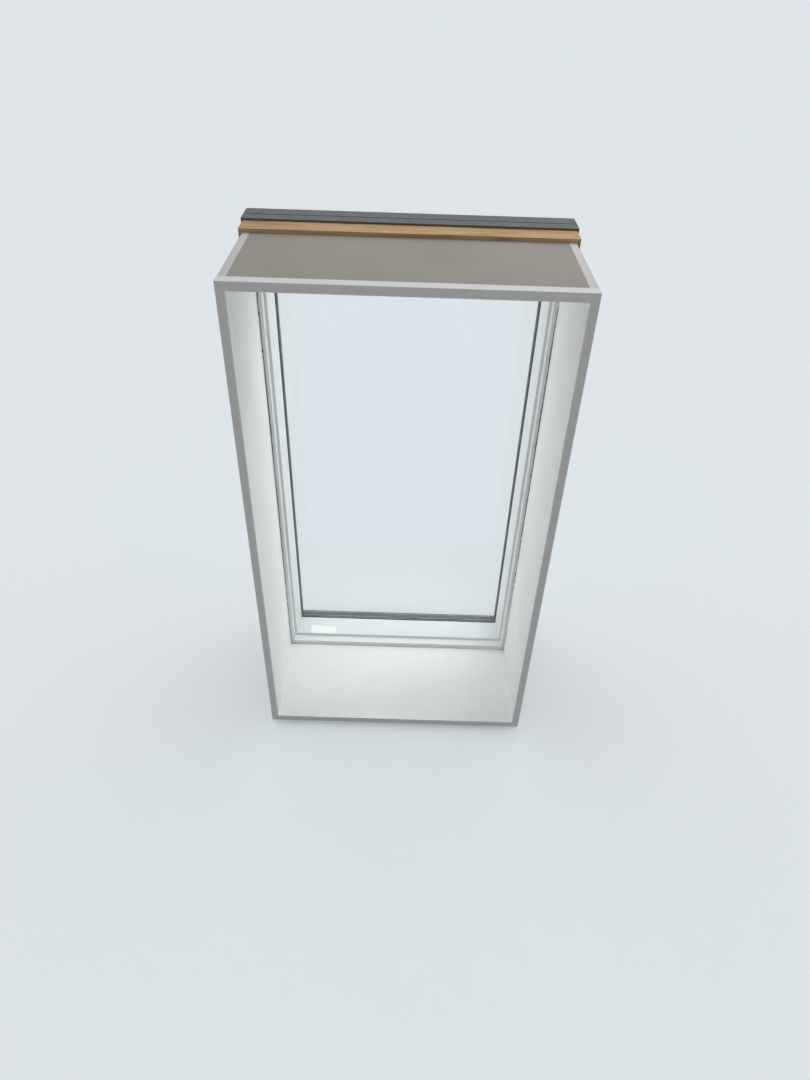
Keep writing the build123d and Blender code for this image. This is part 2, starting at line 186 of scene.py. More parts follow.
# Shared shader effects
def make_place_group():
    """Where a point lies round the opening, from Object coordinates.
    Reach is the larger of |x| less half the width and |z - middle| less half the length. Level is the
    distance from the room plane. Mitre is the distance from the 45 degree corner lines. Along is the
    coordinate along its side. Lengthwise is the point with that coordinate shrunk, so that a pattern on it
    runs along the side."""
    lengthwise_scale = 1 / 15
    tree, _, out = new_group("place round the opening", [], [
        ("Reach", "Float"), ("Level", "Float"), ("Mitre", "Float"), ("Along", "Float"),
        ("Lengthwise", "Vector"), ("Place", "Vector")])
    place = add(tree, "ShaderNodeTexCoord").outputs["Object"]
    xyz = split(tree, place)
    across = calc(tree, "SUBTRACT", calc(tree, "ABSOLUTE", xyz["X"]), half_width)
    from_middle = calc(tree, "ABSOLUTE", calc(tree, "SUBTRACT", xyz["Z"], middle_height))
    up = calc(tree, "SUBTRACT", from_middle, half_length)
    difference = calc(tree, "SUBTRACT", across, up)
    on_side = calc(tree, "GREATER_THAN", difference, 0.0)
    on_end = calc(tree, "SUBTRACT", 1.0, on_side)
    along_side = calc(tree, "MULTIPLY", on_side, xyz["Z"])
    along_end = calc(tree, "MULTIPLY", on_end, xyz["X"])
    shrunk_z = stretch(tree, place, (1.0, 1.0, lengthwise_scale))
    shrunk_x = stretch(tree, place, (lengthwise_scale, 1.0, 1.0))
    connect(tree, out, {
        "Reach": calc(tree, "MAXIMUM", across, up),
        "Level": calc(tree, "SUBTRACT", xyz["Y"], room_plane),
        "Mitre": calc(tree, "MULTIPLY", calc(tree, "ABSOLUTE", difference), math.sqrt(0.5)),
        "Along": calc(tree, "ADD", along_side, along_end),
        "Lengthwise": blend_vector(tree, on_side, shrunk_x, shrunk_z),
        "Place": place,
    })
    return tree


def make_mottle_group():
    """A slow drift of one colour towards another, with a second, finer drift on top."""
    fineness = 9.0
    slow_share = 0.75
    tree, given, out = new_group(
        "mottle",
        [
            ("Vector", "Vector", (0, 0, 0)),
            ("Colour", "Color", colour(0.8, 0.8, 0.8)),
            ("Other colour", "Color", colour(0.7, 0.7, 0.7)),
            ("Scale", "Float", 8.0),
            ("Amount", "Float", 0.5),
        ],
        [("Colour", "Color"), ("Mask", "Float")],
    )
    slow = noise(tree, given["Vector"], given["Scale"], detail=3.0)
    fine = noise(tree, given["Vector"], calc(tree, "MULTIPLY", given["Scale"], fineness))
    slow_part = calc(tree, "MULTIPLY", slow, slow_share)
    fine_part = calc(tree, "MULTIPLY", fine, 1 - slow_share)
    drift = span(tree, calc(tree, "ADD", slow_part, fine_part), 0.35, 0.65)
    mask = calc(tree, "MULTIPLY", drift, given["Amount"])
    mottled = blend_colour(tree, mask, given["Colour"], given["Other colour"])
    connect(tree, out, {"Colour": mottled, "Mask": mask})
    return tree


def make_surface_group():
    """Normals of a surface with two layers of unevenness: broad waves and a fine grain."""
    tree, given, out = new_group(
        "uneven surface",
        [
            ("Vector", "Vector", (0, 0, 0)),
            ("Wave scale", "Float", 12.0),
            ("Wave depth", "Float", 0.0005),
            ("Grain scale", "Float", 700.0),
            ("Grain depth", "Float", 0.0001),
        ],
        [("Normal", "Vector")],
    )
    waves = noise(tree, given["Vector"], given["Wave scale"], detail=1.0)
    grain = noise(tree, given["Vector"], given["Grain scale"])
    broad = add(tree, "ShaderNodeBump", {
        "Height": waves, "Distance": given["Wave depth"], "Strength": 1.0}).outputs[0]
    fine = add(tree, "ShaderNodeBump", {
        "Height": grain, "Distance": given["Grain depth"], "Normal": broad, "Strength": 1.0}).outputs[0]
    connect(tree, out, {"Normal": fine})
    return tree


def make_joint_group():
    """A thin, slightly wandering dark line where two mitred bars meet."""
    wander_scale, wander_width = 180.0, 0.0006
    tree, given, out = new_group("mitre joint", [("Width", "Float", 0.0004)], [("Mask", "Float")])
    place = use(tree, place_group)
    uneven = calc(tree, "SUBTRACT", noise(tree, place["Place"], wander_scale), 0.5)
    aside = calc(tree, "MULTIPLY", uneven, wander_width)
    distance = calc(tree, "ABSOLUTE", calc(tree, "ADD", place["Mitre"], aside))
    connect(tree, out, {"Mask": span(tree, distance, 0.0, given["Width"], to_low=1.0, to_high=0.0)})
    return tree


def make_mark_group():
    """A small soft-edged mark at one place: 1 at its middle and 0 past its radius, where noise makes the
    radius uneven."""
    tree, given, out = new_group(
        "mark",
        [("Vector", "Vector", (0, 0, 0)), ("Place", "Vector", (0, 0, 0)), ("Radius", "Float", 0.002)],
        [("Mask", "Float")],
    )
    ragged = span(tree, noise(tree, given["Vector"], 900.0), 0.2, 0.8, to_low=0.7, to_high=1.6)
    away = add(tree, "ShaderNodeVectorMath", {0: given["Vector"], 1: given["Place"]}, operation="DISTANCE")
    share = calc(tree, "DIVIDE", calc(tree, "MULTIPLY", away.outputs["Value"], ragged), given["Radius"])
    connect(tree, out, {"Mask": span(tree, share, 0.5, 1.0, to_low=1.0, to_high=0.0)})
    return tree


place_group = make_place_group()
mottle_group = make_mottle_group()
surface_group = make_surface_group()
joint_group = make_joint_group()
mark_group = make_mark_group()


def mottle(tree, vector, first, second, scale, amount):
    """Colour and mask of a mottled skin."""
    return use(tree, mottle_group, {
        "Vector": vector, "Colour": first, "Other colour": second, "Scale": scale, "Amount": amount})


def unevenness(tree, vector, wave_scale, wave_depth, grain_scale, grain_depth):
    """Normal of an uneven surface, with depths in metres."""
    return use(tree, surface_group, {
        "Vector": vector, "Wave scale": wave_scale, "Wave depth": wave_depth,
        "Grain scale": grain_scale, "Grain depth": grain_depth})["Normal"]


def joint_line(tree, width):
    """Mask of the line where two mitred bars meet."""
    return use(tree, joint_group, {"Width": width})["Mask"]


def piece_mask(tree):
    """The mask that a new piece carries as its attribute."""
    return add(tree, "ShaderNodeAttribute", attribute_name="mask").outputs["Fac"]


# Materials
def new_material(name, constants):
    """A material with one Principled shader; its constants sit on the shader's own sockets."""
    material = bpy.data.materials.new(name)
    material.use_nodes = True
    shader = material.node_tree.nodes["Principled BSDF"]
    for socket, value in constants.items():
        shader.inputs[socket].default_value = value
    return material, material.node_tree, shader.inputs


def make_frame_paint():
    """White factory paint over pine inside; bare, clear-treated pine past the lining's outer face."""
    white, shaded_white = colour(0.74, 0.762, 0.768), colour(0.705, 0.728, 0.735)
    early_wood, late_wood = colour(0.60, 0.40, 0.20), colour(0.40, 0.22, 0.085)
    joint_dirt = colour(0.30, 0.29, 0.27)
    paint_ends, pine_starts = board_thickness + 0.0002, board_thickness + 0.0006
    ring_count = 9.0
    material, tree, shader = new_material("white_paint_on_pine", {"IOR": 1.5})
    place = use(tree, place_group)
    paint_skin = mottle(tree, place["Place"], white, shaded_white, scale=16.0, amount=0.8)["Colour"]
    streaks = noise(tree, place["Lengthwise"], 260.0, detail=3.0, roughness=0.6)
    rings = calc(tree, "MULTIPLY", noise(tree, place["Lengthwise"], 55.0, detail=1.0), ring_count)
    ring_lines = span(tree, calc(tree, "PINGPONG", rings, 1.0), 0.35, 1.0)
    grain = calc(tree, "MAXIMUM", calc(tree, "MULTIPLY", ring_lines, 0.8), span(tree, streaks, 0.5, 0.8))
    pine = blend_colour(tree, grain, early_wood, late_wood)
    outside = span(tree, place["Reach"], paint_ends, pine_starts)
    surface = blend_colour(tree, outside, paint_skin, pine)
    joint_depth = span(tree, outside, 0.0, 1.0, to_low=0.12, to_high=0.6)
    joint = calc(tree, "MULTIPLY", joint_line(tree, 0.0005), joint_depth)
    normal = unevenness(tree, place["Lengthwise"], wave_scale=60.0, wave_depth=0.00004,
                        grain_scale=420.0, grain_depth=0.00002)
    wood_depth = span(tree, outside, 0.0, 1.0, to_low=0.000006, to_high=0.00005)
    wood_bump = add(tree, "ShaderNodeBump", {"Height": grain, "Distance": wood_depth, "Normal": normal})
    connect(tree, shader, {
        "Base Color": blend_colour(tree, joint, surface, joint_dirt),
        "Roughness": span(tree, calc(tree, "ADD", outside, streaks), 0.3, 1.6, to_low=0.34, to_high=0.62),
        "Normal": wood_bump.outputs[0],
    })
    return material


# Dirt on the painted boards: place and radius in metres
board_marks = [
    ((-0.1296, -0.0147, 0.0223), 0.0022),
    ((-0.1238, -0.0114, 0.0223), 0.0018),
    ((-0.0892, -0.0124, 0.0223), 0.0016),
    ((0.0134, -0.0471, 0.0223), 0.0022),
    ((-0.2540, -0.0080, 0.6898), 0.0022),
]


def make_cut_end(tree, place):
    """Mask and colour of a side board's cut ends: chalky gypsum between two lines of paper, which blends
    in between two depths under the board's faces."""
    paper_ends, paper_full = 0.0007, 0.0004
    chalk_dark, chalk_pale = colour(0.62, 0.61, 0.585), colour(0.78, 0.77, 0.75)
    paper_edge = colour(0.40, 0.37, 0.33)
    half_board = board_thickness / 2
    end_face = calc(tree, "GREATER_THAN", calc(tree, "ABSOLUTE", facing(tree)["Z"]), 0.7)
    from_opening = calc(tree, "ABSOLUTE", split(tree, place["Place"])["X"])
    from_core = calc(tree, "ABSOLUTE", calc(tree, "SUBTRACT", from_opening, half_width + half_board))
    paper_line = span(tree, from_core, half_board - paper_ends, half_board - paper_full)
    powder = noise(tree, place["Place"], 600.0, detail=4.0, roughness=0.7)
    chalk = blend_colour(tree, powder, chalk_dark, chalk_pale)
    return end_face, blend_colour(tree, paper_line, chalk, paper_edge)


def make_board_finish(name, cut_ends):
    """Gypsum board: emulsion inside, grey paper outside and, where its ends are cut, a chalky core."""
    white, shaded_white = colour(0.79, 0.799, 0.799), colour(0.745, 0.75, 0.745)
    dirt = colour(0.36, 0.34, 0.31)
    fibre_dark, fibre_pale = colour(0.36, 0.33, 0.29), colour(0.45, 0.42, 0.375)
    blotch = colour(0.33, 0.30, 0.26)
    emulsion_ends, paper_starts = board_thickness - 0.0006, board_thickness - 0.0002
    material, tree, shader = new_material(name, {"IOR": 1.45, "Specular IOR Level": 0.3})
    place = use(tree, place_group)
    emulsion = mottle(tree, place["Place"], white, shaded_white, scale=7.0, amount=0.9)["Colour"]
    for mark_place, radius in board_marks:
        mark = use(tree, mark_group, {"Vector": place["Place"], "Place": mark_place, "Radius": radius})
        emulsion = blend_colour(tree, calc(tree, "MULTIPLY", mark["Mask"], 0.5), emulsion, dirt)
    fibres = noise(tree, stretch(tree, place["Place"], (1.0, 0.25, 1.0)), 900.0, detail=3.0, roughness=0.7)
    paper = blend_colour(tree, fibres, fibre_dark, fibre_pale)
    blotches = span(tree, noise(tree, place["Place"], 9.0, detail=3.0), 0.4, 0.7, to_high=0.35)
    paper = blend_colour(tree, blotches, paper, blotch)
    surface = blend_colour(tree, span(tree, place["Reach"], emulsion_ends, paper_starts), emulsion, paper)
    if cut_ends:
        end_face, core = make_cut_end(tree, place)
        surface = blend_colour(tree, end_face, surface, core)
    connect(tree, shader, {
        "Base Color": surface,
        "Roughness": span(tree, fibres, 0.2, 0.8, to_low=0.62, to_high=0.78),
        "Normal": unevenness(tree, place["Place"], wave_scale=9.0, wave_depth=0.0012,
                             grain_scale=620.0, grain_depth=0.00016),
    })
    return material


def make_trim_finish():
    """White trim with a thin coat of emulsion. Its rounded nose is painted whiter, a painted highlight."""
    white, shaded_white = colour(0.84, 0.845, 0.84), colour(0.76, 0.76, 0.75)
    nose_painted_highlight, joint_dirt = colour(0.93, 0.935, 0.93), colour(0.35, 0.34, 0.33)
    material, tree, shader = new_material("white_edge_trim", {"IOR": 1.5})
    place = use(tree, place_group)
    skin = mottle(tree, place["Lengthwise"], white, shaded_white, scale=30.0, amount=0.6)
    # Painted highlight: within about a millimetre of the opening, the nose is painted whiter than the trim.
    nose = span(tree, place["Reach"], 0.0002, 0.0012, to_low=1.0, to_high=0.0)
    surface = blend_colour(tree, nose, skin["Colour"], nose_painted_highlight)
    joint = calc(tree, "MULTIPLY", joint_line(tree, 0.0005), 0.5)
    connect(tree, shader, {
        "Base Color": blend_colour(tree, joint, surface, joint_dirt),
        "Roughness": span(tree, skin["Mask"], 0.0, 1.0, to_low=0.38, to_high=0.52),
        "Normal": unevenness(tree, place["Lengthwise"], wave_scale=40.0, wave_depth=0.0001,
                             grain_scale=900.0, grain_depth=0.00003),
    })
    return material


def make_lacquer_finish():
    """Dark grey lacquered aluminium with faint dust and rain marks."""
    grey, worn_grey = colour(0.088, 0.092, 0.096), colour(0.105, 0.108, 0.11)
    dust, joint_dark = colour(0.30, 0.29, 0.27), colour(0.012, 0.012, 0.012)
    constants = {"IOR": 1.5, "Specular IOR Level": 0.35}
    material, tree, shader = new_material("grey_lacquered_aluminium", constants)
    place = use(tree, place_group)
    lacquer = mottle(tree, place["Place"], grey, worn_grey, scale=25.0, amount=0.8)["Colour"]
    rain = noise(tree, stretch(tree, place["Place"], (1.0, 1.0, 0.12)), 90.0, detail=3.0, roughness=0.6)
    dusty = blend_colour(tree, span(tree, rain, 0.55, 0.8, to_high=0.22), lacquer, dust)
    joint = calc(tree, "MULTIPLY", joint_line(tree, 0.0006), 0.9)
    connect(tree, shader, {
        "Base Color": blend_colour(tree, joint, dusty, joint_dark),
        "Roughness": span(tree, rain, 0.3, 0.8, to_low=0.42, to_high=0.58),
        "Normal": unevenness(tree, place["Place"], wave_scale=14.0, wave_depth=0.0002,
                             grain_scale=1400.0, grain_depth=0.00002),
    })
    return material


def make_zinc_finish():
    """Hot-dip zinc: spangles of differing tone and gloss, their outlines bent by noise, with dull patches
    of oxide."""
    spangle_dark, spangle_pale = colour(0.46, 0.48, 0.50), colour(0.66, 0.68, 0.69)
    oxide = colour(0.60, 0.60, 0.59)
    bend = (0.003, 0.003, 0.003)
    material, tree, shader = new_material("galvanised_steel", {"Metallic": 0.9})
    place = use(tree, place_group)["Place"]
    drift = add(tree, "ShaderNodeTexNoise", {"Vector": place, "Scale": 160.0}).outputs["Color"]
    bent = add(tree, "ShaderNodeVectorMath", {0: drift, 1: bend, 2: place}, operation="MULTIPLY_ADD")
    cells = add(tree, "ShaderNodeTexVoronoi", {"Vector": bent.outputs[0], "Scale": 210.0})
    tone = add(tree, "ShaderNodeSeparateColor", {0: cells.outputs["Color"]}).outputs
    spangles = blend_colour(tree, tone["Red"], spangle_dark, spangle_pale)
    patches = span(tree, noise(tree, place, 60.0, detail=4.0), 0.52, 0.72, to_high=0.5)
    connect(tree, shader, {
        "Base Color": blend_colour(tree, patches, spangles, oxide),
        "Roughness": span(tree, tone["Green"], 0.0, 1.0, to_low=0.30, to_high=0.52),
        "Normal": unevenness(tree, place, wave_scale=70.0, wave_depth=0.0001,
                             grain_scale=900.0, grain_depth=0.00002),
    })
    return material


def make_stainless_finish():
    """Plain stainless steel with faint smears."""
    steel_dark, steel_pale = colour(0.56, 0.56, 0.55), colour(0.70, 0.70, 0.69)
    material, tree, shader = new_material("stainless_steel", {"Metallic": 1.0})
    place = use(tree, place_group)["Place"]
    smear = noise(tree, place, 350.0, detail=3.0)
    connect(tree, shader, {
        "Base Color": blend_colour(tree, smear, steel_dark, steel_pale),
        "Roughness": span(tree, smear, 0.3, 0.7, to_low=0.24, to_high=0.40),
        "Normal": unevenness(tree, place, wave_scale=300.0, wave_depth=0.00002,
                             grain_scale=2500.0, grain_depth=0.00001),
    })
    return material


def make_rubber_finish(name, dark, pale, dust_amount, dust_above):
    """Black seal or plastic with a matt skin, a little pale dust and, by dust_above, more of it where it
    looks up."""
    dust = colour(0.46, 0.47, 0.46)
    material, tree, shader = new_material(name, {"IOR": 1.5, "Specular IOR Level": 0.35})
    place = use(tree, place_group)
    skin = mottle(tree, place["Lengthwise"], dark, pale, scale=60.0, amount=dust_amount)
    settled = calc(tree, "MULTIPLY", span(tree, facing(tree)["Z"], 0.6, 0.9), dust_above)
    patches = span(tree, noise(tree, place["Place"], 70.0, detail=3.0), 0.3, 0.6, to_low=0.6, to_high=1.0)
    settled = calc(tree, "MULTIPLY", settled, patches)
    connect(tree, shader, {
        "Base Color": blend_colour(tree, settled, skin["Colour"], dust),
        "Roughness": span(tree, skin["Mask"], 0.0, 1.0, to_low=0.48, to_high=0.72),
        "Normal": unevenness(tree, place["Lengthwise"], wave_scale=120.0, wave_depth=0.0001,
                             grain_scale=1500.0, grain_depth=0.00003),
    })
    return material


def make_butyl_finish():
    """Grey butyl pressed flat against the glass, with a few small smears. Along the sill, its faces that
    look into the room are painted near white as painted light, but not those that look at the sky."""
    grey, dark_grey = colour(0.27, 0.28, 0.28), colour(0.20, 0.21, 0.21)
    sill_painted_light = colour(0.80, 0.81, 0.80)
    sill_butyl_top = middle_height - half_length + face_top[0] + butyl_shows
    material, tree, shader = new_material("grey_butyl", {"Specular IOR Level": 0.2})
    place = use(tree, place_group)
    smears = mottle(tree, place["Lengthwise"], grey, dark_grey, scale=80.0, amount=0.7)
    # Painted light: along the sill, the butyl's faces that look into the room are painted near white.
    at_sill = calc(tree, "LESS_THAN", split(tree, place["Place"])["Z"], sill_butyl_top)
    from_room = calc(tree, "LESS_THAN", facing(tree)["Y"], 0.5)
    sill_painted_light_mask = calc(tree, "MULTIPLY", at_sill, from_room)
    connect(tree, shader, {
        "Base Color": blend_colour(tree, sill_painted_light_mask, smears["Colour"], sill_painted_light),
        "Roughness": span(tree, smears["Mask"], 0.0, 1.0, to_low=0.5, to_high=0.7),
        "Normal": unevenness(tree, place["Lengthwise"], wave_scale=200.0, wave_depth=0.00005,
                             grain_scale=1500.0, grain_depth=0.00001),
    })
    return material


def make_spacer_finish():
    """Matt grey spacer with a row of fine breathing slits along the middle of its face. The slits are
    bumped in and painted near black, a painted shade.
    """
    grey, pale_grey = colour(0.075, 0.082, 0.085), colour(0.095, 0.10, 0.102)
    slit_painted_shade = colour(0.01, 0.01, 0.01)
    slit_pitch, slit_share, slit_half_width, slit_depth = 0.004, 0.55, 0.0002, 0.0003
    material, tree, shader = new_material("matt_spacer", {"Specular IOR Level": 0.3})
    place = use(tree, place_group)
    skin = mottle(tree, place["Lengthwise"], grey, pale_grey, scale=60.0, amount=0.6)
    step = calc(tree, "FRACT", calc(tree, "DIVIDE", place["Along"], slit_pitch))
    from_middle = calc(tree, "ABSOLUTE", calc(tree, "SUBTRACT", place["Level"], spacer_middle - room_plane))
    near_middle = calc(tree, "LESS_THAN", from_middle, slit_half_width)
    # Painted shade: the slits are painted near black.
    slit = calc(tree, "MULTIPLY", calc(tree, "LESS_THAN", step, slit_share), near_middle)
    normal = unevenness(tree, place["Lengthwise"], wave_scale=100.0, wave_depth=0.0001,
                        grain_scale=1500.0, grain_depth=0.00002)
    slit_inputs = {"Height": slit, "Distance": slit_depth, "Normal": normal}
    connect(tree, shader, {
        "Base Color": blend_colour(tree, slit, skin["Colour"], slit_painted_shade),
        "Roughness": span(tree, skin["Mask"], 0.0, 1.0, to_low=0.42, to_high=0.55),
        "Normal": add(tree, "ShaderNodeBump", slit_inputs, invert=True).outputs[0],
    })
    return material


def make_bead_finish():
    """Drying beads packed together: pale round grains of about a millimetre."""
    bead_dark, bead_pale = colour(0.62, 0.56, 0.46), colour(0.72, 0.69, 0.62)
    material, tree, shader = new_material("drying_beads", {"IOR": 1.5, "Roughness": 0.8})
    place = use(tree, place_group)["Place"]
    beads = add(tree, "ShaderNodeTexVoronoi", {"Vector": place, "Scale": 900.0}).outputs
    tone = add(tree, "ShaderNodeSeparateColor", {0: beads["Color"]}).outputs["Red"]
    round_top = span(tree, beads["Distance"], 0.0, 0.7, to_low=1.0, to_high=0.0)
    connect(tree, shader, {
        "Base Color": blend_colour(tree, tone, bead_dark, bead_pale),
        "Normal": add(tree, "ShaderNodeBump", {"Height": round_top, "Distance": 0.0004}).outputs[0],
    })
    return material


def make_glass(name, tint):
    """Clear glass. Light shines through it: a ray towards a lamp, or one that gathers light for a matt
    surface, passes a tinted clear shader instead."""
    passed_light = colour(0.93, 0.945, 0.94)
    material, tree, shader = new_material(name, {
        "Base Color": tint, "Roughness": 0.0, "IOR": 1.5, "Transmission Weight": 1.0})
    place = use(tree, place_group)["Place"]
    connect(tree, shader, {"Normal": unevenness(
        tree, place, wave_scale=4.0, wave_depth=0.00002, grain_scale=30.0, grain_depth=0.000002)})
    clear = add(tree, "ShaderNodeBsdfTransparent", {"Color": passed_light}).outputs[0]
    path = add(tree, "ShaderNodeLightPath").outputs
    to_light = calc(tree, "MAXIMUM", path["Is Shadow Ray"], path["Is Diffuse Ray"])
    glass = tree.nodes["Principled BSDF"].outputs[0]
    mixed = add(tree, "ShaderNodeMixShader", {0: to_light, 1: glass, 2: clear}).outputs[0]
    connect(tree, tree.nodes["Material Output"].inputs, {"Surface": mixed})
    return material


def make_sealant():
    """Painter's sealant: dirty white, and painted near black down in its cracks as painted shade."""
    white, dirty_white = colour(0.80, 0.79, 0.765), colour(0.62, 0.59, 0.55)
    crack_painted_shade = colour(0.032, 0.031, 0.029)
    material, tree, shader = new_material("cracked_sealant", {"IOR": 1.45, "Specular IOR Level": 0.3})
    place = use(tree, place_group)
    skin = mottle(tree, place["Lengthwise"], white, dirty_white, scale=30.0, amount=0.8)["Colour"]
    # Painted shade: the crack's depth, kept in the piece's mask, paints the crack near black.
    dark = span(tree, piece_mask(tree), 0.15, 0.55)
    connect(tree, shader, {
        "Base Color": blend_colour(tree, dark, skin, crack_painted_shade),
        "Roughness": span(tree, dark, 0.0, 1.0, to_low=0.55, to_high=0.95),
        "Normal": unevenness(tree, place["Place"], wave_scale=220.0, wave_depth=0.00015,
                             grain_scale=1400.0, grain_depth=0.00004),
    })
    return material


def make_label_finish():
    """Blank white label stock with a satin face, a little grime along its rim."""
    white, shaded_white = colour(0.90, 0.93, 0.93), colour(0.85, 0.88, 0.88)
    grime_grey = colour(0.42, 0.40, 0.36)
    material, tree, shader = new_material("blank_label_stock", {"IOR": 1.5, "Specular IOR Level": 0.4})
    place = use(tree, place_group)["Place"]
    rim = span(tree, piece_mask(tree), 0.93, 1.0, to_high=0.5)
    skin = mottle(tree, place, white, shaded_white, scale=90.0, amount=0.8)
    grime = calc(tree, "MULTIPLY", rim, noise(tree, place, 260.0, detail=3.0))
    connect(tree, shader, {
        "Base Color": blend_colour(tree, grime, skin["Colour"], grime_grey),
        "Roughness": span(tree, skin["Mask"], 0.0, 1.0, to_low=0.30, to_high=0.40),
        "Normal": unevenness(tree, place, wave_scale=90.0, wave_depth=0.00006,
                             grain_scale=2200.0, grain_depth=0.00001),
    })
    return material


def paint(material, *names):
    """Gives CAD nodes their finish."""
    for name in names:
        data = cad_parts[name].data
        data.materials.clear()
        data.materials.append(material)


sides = ("left", "right", "head", "sill")
brackets = [f"bracket_{side}_{end}" for side in ("left", "right") for end in ("upper", "lower")]
seal_dark, seal_pale = colour(0.11, 0.117, 0.12), colour(0.15, 0.153, 0.153)
plastic_dark, plastic_pale = colour(0.07, 0.076, 0.079), colour(0.09, 0.094, 0.096)
paint(make_frame_paint(), *[f"frame_{side}" for side in sides])
paint(make_board_finish("painted_board_with_cut_ends", True), "lining_left", "lining_right")
painted_board = make_board_finish("painted_board", False)
paint(painted_board, "lining_head", "lining_sill")
paint(make_trim_finish(), *[f"edge_trim_{side}" for side in sides])
paint(make_lacquer_finish(), *[f"{piece}_{side}" for piece in ("cap", "skirt") for side in sides])
paint(make_zinc_finish(), "corner_screws", "bracket_screws", *brackets)
paint(make_stainless_finish(), "cap_screws", "skirt_nails")
seal = make_rubber_finish("black_seal", seal_dark, seal_pale, dust_amount=0.6, dust_above=0.1)
paint(seal, "inner_gasket", "outer_gasket", "edge_seal", "cap_washers")
plastic = make_rubber_finish("black_plastic", plastic_dark, plastic_pale, dust_amount=0.4, dust_above=0.0)
paint(plastic, "spacer_keys", "setting_blocks")
paint(make_butyl_finish(), "butyl_seals")
sealant = make_sealant()
paint(sealant, "caulk_bead")
paint(make_spacer_finish(), "spacer_bars")
paint(make_bead_finish(), "desiccant")
paint(make_glass("laminated_glass", colour(0.985, 0.995, 0.995)), "inner_pane")
paint(make_glass("toughened_glass", colour(0.99, 0.997, 0.997)), "outer_pane")


# New pieces
def grid_faces(rows, columns, rows_close, columns_close):
    """Quads between neighbouring points of a grid whose points are stored row by row."""
    row = np.arange(rows if rows_close else rows - 1)
    column = np.arange(columns if columns_close else columns - 1)
    row, column = np.meshgrid(row, column, indexing="ij")
    next_row, next_column = (row + 1) % rows, (column + 1) % columns
    corners = [row * columns + column, row * columns + next_column,
               next_row * columns + next_column, next_row * columns + column]
    return np.stack(corners, axis=-1).reshape(-1, 4)


def make_piece(name, points, faces, material, mask=None):
    """A smooth piece from arrays, with an optional mask kept as the attribute "mask"."""
    crease_deg = 75
    mesh = bpy.data.meshes.new(name)
    mesh.from_pydata(points.reshape(-1, 3).tolist(), [], [list(face) for face in faces])
    mesh.shade_smooth()
    mesh.set_sharp_from_angle(angle=math.radians(crease_deg))
    if mask is not None:
        attribute = mesh.attributes.new("mask", "FLOAT", "POINT")
        attribute.data.foreach_set("value", np.ascontiguousarray(mask, dtype=np.float32).ravel())
    mesh.materials.append(material)
    piece = bpy.data.objects.new(name, mesh)
    bpy.context.scene.collection.objects.link(piece)
    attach(piece, "root")
    return piece


def wander(turn, seed, slowest, fastest):
    """Smooth uneven curve between about -1 and 1 that closes after one turn: sines of whole wave numbers
    between slowest and fastest, each with its own start, the fast ones smaller."""
    waves = np.arange(slowest, fastest)
    starts = np.random.default_rng(seed).uniform(0.0, 2 * math.pi, waves.size)
    sizes = 1 / np.sqrt(waves)
    return np.sin(np.multiply.outer(turn, waves) + starts) @ sizes / np.sqrt((sizes ** 2).sum() / 2) / 2


def bell(distance, length):
    """Bell curve: 1 at no distance and 1/e at a distance of one length."""
    return np.exp(-((distance / length) ** 2))


def ring_frame(step):
    """Points every step or so round the opening, from its lower left corner along the sill.
    Gives each point's two corners as signs of x and z, its share of the way between them, and the
    distance gone so far."""
    lengths = np.array([half_width, half_length, half_width, half_length]) * 2
    counts = np.round(lengths / step).astype(int)
    side = np.repeat(np.arange(4), counts)
    share = (np.arange(side.size) - np.repeat(np.cumsum(counts) - counts, counts)) / counts[side]
    gone = (np.cumsum(lengths) - lengths)[side] + share * lengths[side]
    return corner_signs[side], corner_signs[(side + 1) % 4], share, gone


# Cracks in the sealant: distance along the joint from the lower left corner, in metres, and depth, 0 to 1
cracks = [
    (0.0, 1.0), (0.006, 0.9), (0.015, 0.05), (0.12, 0.0), (0.2, 0.1), (0.3, 0.05), (0.38, 0.15),
    (0.47, 0.05), (0.502, 0.2), (0.508, 1.0), (0.514, 0.3), (0.6, 0.05), (0.69, 0.15), (0.75, 0.4),
    (0.86, 0.65), (0.90, 0.9), (1.27, 0.95), (1.33, 0.8), (1.38, 0.5), (1.7, 0.3), (1.953, 0.5), (2.0, 0.9),
    (2.03, 1.0), (2.62, 1.0), (2.66, 0.8), (2.72, 0.7), (2.84, 0.75), (2.88, 0.85), (2.89, 1.0),
]
# Where the crack runs across the bead: distance along the joint, and share of the way from board to frame
crack_path = [
    (0.0, 0.42), (0.75, 0.42), (0.90, 0.56), (1.33, 0.56), (1.40, 0.42), (1.95, 0.42), (1.96, 0.74),
    (2.10, 0.72), (2.32, 0.70), (2.50, 0.68), (2.62, 0.54), (2.89, 0.46),
]
# Lumps of paint on the bead: distance along the joint and half length
lumps = [(2.074, 0.0035), (2.141, 0.0024)]


def crack_in_bead(gone, turn, lump, across):
    """Depth of the crack, 0 to 1, at each place along the joint and across the bead: a narrow groove of
    bell shape. It wanders about its path, and its depth follows the list of cracks, changed by a fast
    uneven curve where the crack is broken. A lump of paint pushes it towards the board."""
    # A crack is broken where its depth lies between none and this limit
    break_limit, break_onset, break_strength = 1.2, 4, 0.9
    # As shares of the way across the bead
    path_drift, path_roughness, lump_push = 0.08, 0.05, 0.22
    groove_width, widening = 0.10, 0.16
    depth = np.interp(gone, *np.transpose(cracks))
    broken = np.clip(break_limit - depth, 0.0, 1.0) * np.clip(break_onset * depth, 0.0, 1.0)
    broken = broken * wander(turn, seed=5, slowest=40, fastest=420)
    depth = np.clip(depth + break_strength * broken, 0.0, 1.0)[:, None]
    path = np.interp(gone, *np.transpose(crack_path))
    drift = path_drift * wander(turn, seed=6, slowest=6, fastest=90)
    roughness = path_roughness * wander(turn, seed=7, slowest=90, fastest=400)
    middle = (path + drift + roughness - lump_push * lump)[:, None]
    return depth * bell(across - middle, groove_width + widening * depth)


